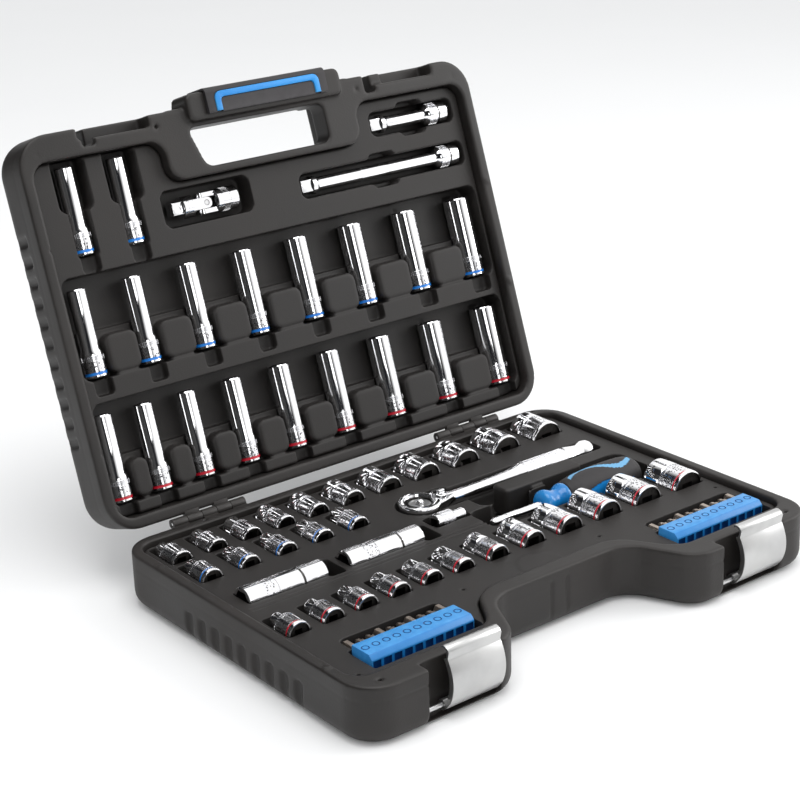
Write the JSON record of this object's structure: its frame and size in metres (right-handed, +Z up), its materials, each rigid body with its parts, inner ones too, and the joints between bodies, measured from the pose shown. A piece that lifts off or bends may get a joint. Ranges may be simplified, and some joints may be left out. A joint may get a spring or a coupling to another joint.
{
  "type": "socket wrench set in case",
  "caption": "Socket wrench set in an open dark carrying case, with sockets, ratchet, driver, bars and bits",
  "frame": {"origin": "centre of the base's flat underside, on the surface the case lies on", "axes": "+Z up, +X to the right along the hinge, +Y to the rear where the hinge is"},
  "size_m": [0.39, 0.4064, 0.3137],
  "materials": {
    "case_plastic": "dull dark brown-black moulded case shells",
    "tray_plastic": "dull dark formed trays",
    "chrome": "bright plated tools",
    "satin_steel": "satin latches and pins",
    "blue_plastic": "blue bit holders, collar and handle trim",
    "black_rubber": "soft black grips"
  },
  "bodies": {
    "base": {"base_shell": "case_plastic", "base_tray": "tray_plastic", "hinge_pin_left": "satin_steel", "hinge_pin_right": "satin_steel", "latch_pin_left": "satin_steel", "latch_pin_right": "satin_steel"},
    "lid": {"lid_shell": "case_plastic", "lid_tray": "tray_plastic", "handle_grip": "black_rubber", "handle_trim": "blue_plastic"},
    "latch_left": {"latch_left": "satin_steel"},
    "latch_right": {"latch_right": "satin_steel"},
    "lift_front_socket_01": {"front_socket_01": "chrome"},
    "lift_front_socket_02": {"front_socket_02": "chrome"},
    "lift_front_socket_03": {"front_socket_03": "chrome"},
    "lift_front_socket_04": {"front_socket_04": "chrome"},
    "lift_front_socket_05": {"front_socket_05": "chrome"},
    "lift_front_socket_06": {"front_socket_06": "chrome"},
    "lift_front_socket_07": {"front_socket_07": "chrome"},
    "lift_front_socket_08": {"front_socket_08": "chrome"},
    "lift_front_socket_09": {"front_socket_09": "chrome"},
    "lift_front_socket_10": {"front_socket_10": "chrome"},
    "lift_front_socket_11": {"front_socket_11": "chrome"},
    "lift_front_socket_12": {"front_socket_12": "chrome"},
    "lift_long_socket_1": {"long_socket_1": "chrome"},
    "lift_long_socket_2": {"long_socket_2": "chrome"},
    "lift_drive_adapter": {"drive_adapter": "chrome"},
    "ratchet": {"ratchet_body": "chrome"},
    "ratchet_gear": {"ratchet_drive": "satin_steel", "ratchet_button": "chrome"},
    "reversing_lever": {"ratchet_lever": "chrome"},
    "driver": {"driver_handle": "black_rubber", "driver_collar": "blue_plastic", "driver_shaft": "chrome"},
    "bit_holder_left": {"bit_rail_left": "blue_plastic"},
    "bit_holder_right": {"bit_rail_right": "blue_plastic"},
    "lift_deep_socket_upper_1": {"deep_socket_upper_1": "chrome"},
    "lift_deep_socket_upper_2": {"deep_socket_upper_2": "chrome"},
    "lift_deep_socket_middle_1": {"deep_socket_middle_1": "chrome"},
    "lift_deep_socket_middle_2": {"deep_socket_middle_2": "chrome"},
    "lift_deep_socket_middle_3": {"deep_socket_middle_3": "chrome"},
    "lift_deep_socket_middle_4": {"deep_socket_middle_4": "chrome"},
    "lift_deep_socket_middle_5": {"deep_socket_middle_5": "chrome"},
    "lift_deep_socket_middle_6": {"deep_socket_middle_6": "chrome"},
    "lift_deep_socket_middle_7": {"deep_socket_middle_7": "chrome"},
    "lift_deep_socket_middle_8": {"deep_socket_middle_8": "chrome"},
    "lift_deep_socket_lower_1": {"deep_socket_lower_1": "chrome"},
    "lift_deep_socket_lower_2": {"deep_socket_lower_2": "chrome"},
    "lift_deep_socket_lower_3": {"deep_socket_lower_3": "chrome"},
    "lift_deep_socket_lower_4": {"deep_socket_lower_4": "chrome"},
    "lift_deep_socket_lower_5": {"deep_socket_lower_5": "chrome"},
    "lift_deep_socket_lower_6": {"deep_socket_lower_6": "chrome"},
    "lift_deep_socket_lower_7": {"deep_socket_lower_7": "chrome"},
    "lift_deep_socket_lower_8": {"deep_socket_lower_8": "chrome"},
    "lift_deep_socket_lower_9": {"deep_socket_lower_9": "chrome"},
    "lift_extension_short": {"extension_short": "chrome"},
    "lift_extension_long": {"extension_long": "chrome"},
    "joint_drive": {"joint_drive_end": "chrome"},
    "joint_cross": {"joint_spider": "satin_steel"},
    "joint_socket": {"joint_socket_end": "chrome"}
  },
  "joints": [
    {"name": "lid_hinge", "type": "hinge", "parent": "base", "child": "lid", "pos_m": [0, 0.139, 0.04], "axis": [-1, 0, 0], "range_deg": [-108.85, 0]},
    {"name": "latch_left_swing", "type": "hinge", "parent": "base", "child": "latch_left", "pos_m": [-0.1135, -0.1305, 0.009], "axis": [1, 0, 0], "range_deg": [0, 60]},
    {"name": "latch_right_swing", "type": "hinge", "parent": "base", "child": "latch_right", "pos_m": [0.1385, -0.1305, 0.009], "axis": [1, 0, 0], "range_deg": [0, 60]},
    {"name": "lift_front_socket_01_lift", "type": "slide", "parent": "base", "child": "lift_front_socket_01", "axis": [0, 0, 1], "range_m": [0, 0.03]},
    {"name": "lift_front_socket_02_lift", "type": "slide", "parent": "base", "child": "lift_front_socket_02", "axis": [0, 0, 1], "range_m": [0, 0.03]},
    {"name": "lift_front_socket_03_lift", "type": "slide", "parent": "base", "child": "lift_front_socket_03", "axis": [0, 0, 1], "range_m": [0, 0.03]},
    {"name": "lift_front_socket_04_lift", "type": "slide", "parent": "base", "child": "lift_front_socket_04", "axis": [0, 0, 1], "range_m": [0, 0.03]},
    {"name": "lift_front_socket_05_lift", "type": "slide", "parent": "base", "child": "lift_front_socket_05", "axis": [0, 0, 1], "range_m": [0, 0.03]},
    {"name": "lift_front_socket_06_lift", "type": "slide", "parent": "base", "child": "lift_front_socket_06", "axis": [0, 0, 1], "range_m": [0, 0.03]},
    {"name": "lift_front_socket_07_lift", "type": "slide", "parent": "base", "child": "lift_front_socket_07", "axis": [0, 0, 1], "range_m": [0, 0.03]},
    {"name": "lift_front_socket_08_lift", "type": "slide", "parent": "base", "child": "lift_front_socket_08", "axis": [0, 0, 1], "range_m": [0, 0.03]},
    {"name": "lift_front_socket_09_lift", "type": "slide", "parent": "base", "child": "lift_front_socket_09", "axis": [0, 0, 1], "range_m": [0, 0.03]},
    {"name": "lift_front_socket_10_lift", "type": "slide", "parent": "base", "child": "lift_front_socket_10", "axis": [0, 0, 1], "range_m": [0, 0.03]},
    {"name": "lift_front_socket_11_lift", "type": "slide", "parent": "base", "child": "lift_front_socket_11", "axis": [0, 0, 1], "range_m": [0, 0.03]},
    {"name": "lift_front_socket_12_lift", "type": "slide", "parent": "base", "child": "lift_front_socket_12", "axis": [0, 0, 1], "range_m": [0, 0.03]},
    {"name": "lift_long_socket_1_lift", "type": "slide", "parent": "base", "child": "lift_long_socket_1", "axis": [0, 0, 1], "range_m": [0, 0.03]},
    {"name": "lift_long_socket_2_lift", "type": "slide", "parent": "base", "child": "lift_long_socket_2", "axis": [0, 0, 1], "range_m": [0, 0.03]},
    {"name": "lift_drive_adapter_lift", "type": "slide", "parent": "base", "child": "lift_drive_adapter", "axis": [0, 0, 1], "range_m": [0, 0.03]},
    {"name": "ratchet_lift", "type": "slide", "parent": "base", "child": "ratchet", "axis": [0, 0, 1], "range_m": [0, 0.04]},
    {"name": "ratchet_turn", "type": "hinge", "parent": "ratchet", "child": "ratchet_gear", "pos_m": [0.003, 0.057, 0.033], "axis": [0, 0, 1], "continuous": true},
    {"name": "lever_flick", "type": "hinge", "parent": "ratchet", "child": "reversing_lever", "pos_m": [0.0205, 0.057, 0.033], "axis": [0, 0, 1], "range_deg": [-20, 20]},
    {"name": "driver_lift", "type": "slide", "parent": "base", "child": "driver", "axis": [0, 0, 1], "range_m": [0, 0.04]},
    {"name": "bit_holder_left_lift", "type": "slide", "parent": "base", "child": "bit_holder_left", "axis": [0, 0, 1], "range_m": [0, 0.03]},
    {"name": "bit_holder_right_lift", "type": "slide", "parent": "base", "child": "bit_holder_right", "axis": [0, 0, 1], "range_m": [0, 0.03]},
    {"name": "lift_deep_socket_upper_1_lift", "type": "slide", "parent": "lid", "child": "lift_deep_socket_upper_1", "axis": [0, -0.9464, 0.3231], "range_m": [0, 0.03]},
    {"name": "lift_deep_socket_upper_2_lift", "type": "slide", "parent": "lid", "child": "lift_deep_socket_upper_2", "axis": [0, -0.9464, 0.3231], "range_m": [0, 0.03]},
    {"name": "lift_deep_socket_middle_1_lift", "type": "slide", "parent": "lid", "child": "lift_deep_socket_middle_1", "axis": [0, -0.9464, 0.3231], "range_m": [0, 0.03]},
    {"name": "lift_deep_socket_middle_2_lift", "type": "slide", "parent": "lid", "child": "lift_deep_socket_middle_2", "axis": [0, -0.9464, 0.3231], "range_m": [0, 0.03]},
    {"name": "lift_deep_socket_middle_3_lift", "type": "slide", "parent": "lid", "child": "lift_deep_socket_middle_3", "axis": [0, -0.9464, 0.3231], "range_m": [0, 0.03]},
    {"name": "lift_deep_socket_middle_4_lift", "type": "slide", "parent": "lid", "child": "lift_deep_socket_middle_4", "axis": [0, -0.9464, 0.3231], "range_m": [0, 0.03]},
    {"name": "lift_deep_socket_middle_5_lift", "type": "slide", "parent": "lid", "child": "lift_deep_socket_middle_5", "axis": [0, -0.9464, 0.3231], "range_m": [0, 0.03]},
    {"name": "lift_deep_socket_middle_6_lift", "type": "slide", "parent": "lid", "child": "lift_deep_socket_middle_6", "axis": [0, -0.9464, 0.3231], "range_m": [0, 0.03]},
    {"name": "lift_deep_socket_middle_7_lift", "type": "slide", "parent": "lid", "child": "lift_deep_socket_middle_7", "axis": [0, -0.9464, 0.3231], "range_m": [0, 0.03]},
    {"name": "lift_deep_socket_middle_8_lift", "type": "slide", "parent": "lid", "child": "lift_deep_socket_middle_8", "axis": [0, -0.9464, 0.3231], "range_m": [0, 0.03]},
    {"name": "lift_deep_socket_lower_1_lift", "type": "slide", "parent": "lid", "child": "lift_deep_socket_lower_1", "axis": [0, -0.9464, 0.3231], "range_m": [0, 0.03]},
    {"name": "lift_deep_socket_lower_2_lift", "type": "slide", "parent": "lid", "child": "lift_deep_socket_lower_2", "axis": [0, -0.9464, 0.3231], "range_m": [0, 0.03]},
    {"name": "lift_deep_socket_lower_3_lift", "type": "slide", "parent": "lid", "child": "lift_deep_socket_lower_3", "axis": [0, -0.9464, 0.3231], "range_m": [0, 0.03]},
    {"name": "lift_deep_socket_lower_4_lift", "type": "slide", "parent": "lid", "child": "lift_deep_socket_lower_4", "axis": [0, -0.9464, 0.3231], "range_m": [0, 0.03]},
    {"name": "lift_deep_socket_lower_5_lift", "type": "slide", "parent": "lid", "child": "lift_deep_socket_lower_5", "axis": [0, -0.9464, 0.3231], "range_m": [0, 0.03]},
    {"name": "lift_deep_socket_lower_6_lift", "type": "slide", "parent": "lid", "child": "lift_deep_socket_lower_6", "axis": [0, -0.9464, 0.3231], "range_m": [0, 0.03]},
    {"name": "lift_deep_socket_lower_7_lift", "type": "slide", "parent": "lid", "child": "lift_deep_socket_lower_7", "axis": [0, -0.9464, 0.3231], "range_m": [0, 0.03]},
    {"name": "lift_deep_socket_lower_8_lift", "type": "slide", "parent": "lid", "child": "lift_deep_socket_lower_8", "axis": [0, -0.9464, 0.3231], "range_m": [0, 0.03]},
    {"name": "lift_deep_socket_lower_9_lift", "type": "slide", "parent": "lid", "child": "lift_deep_socket_lower_9", "axis": [0, -0.9464, 0.3231], "range_m": [0, 0.03]},
    {"name": "lift_extension_short_lift", "type": "slide", "parent": "lid", "child": "lift_extension_short", "axis": [0, -0.9464, 0.3231], "range_m": [0, 0.03]},
    {"name": "lift_extension_long_lift", "type": "slide", "parent": "lid", "child": "lift_extension_long", "axis": [0, -0.9464, 0.3231], "range_m": [0, 0.03]},
    {"name": "joint_drive_lift", "type": "slide", "parent": "lid", "child": "joint_drive", "axis": [0, -0.9464, 0.3231], "range_m": [0, 0.03]},
    {"name": "cross_turn", "type": "hinge", "parent": "joint_drive", "child": "joint_cross", "pos_m": [-0.05575, 0.22256, 0.23337], "axis": [0, -0.9464, 0.3231], "range_deg": [-2.5, 2.5]},
    {"name": "socket_turn", "type": "hinge", "parent": "joint_cross", "child": "joint_socket", "pos_m": [-0.05575, 0.22256, 0.23337], "axis": [0, 0.3231, 0.9464], "range_deg": [-2.5, 2.5]}
  ]
}
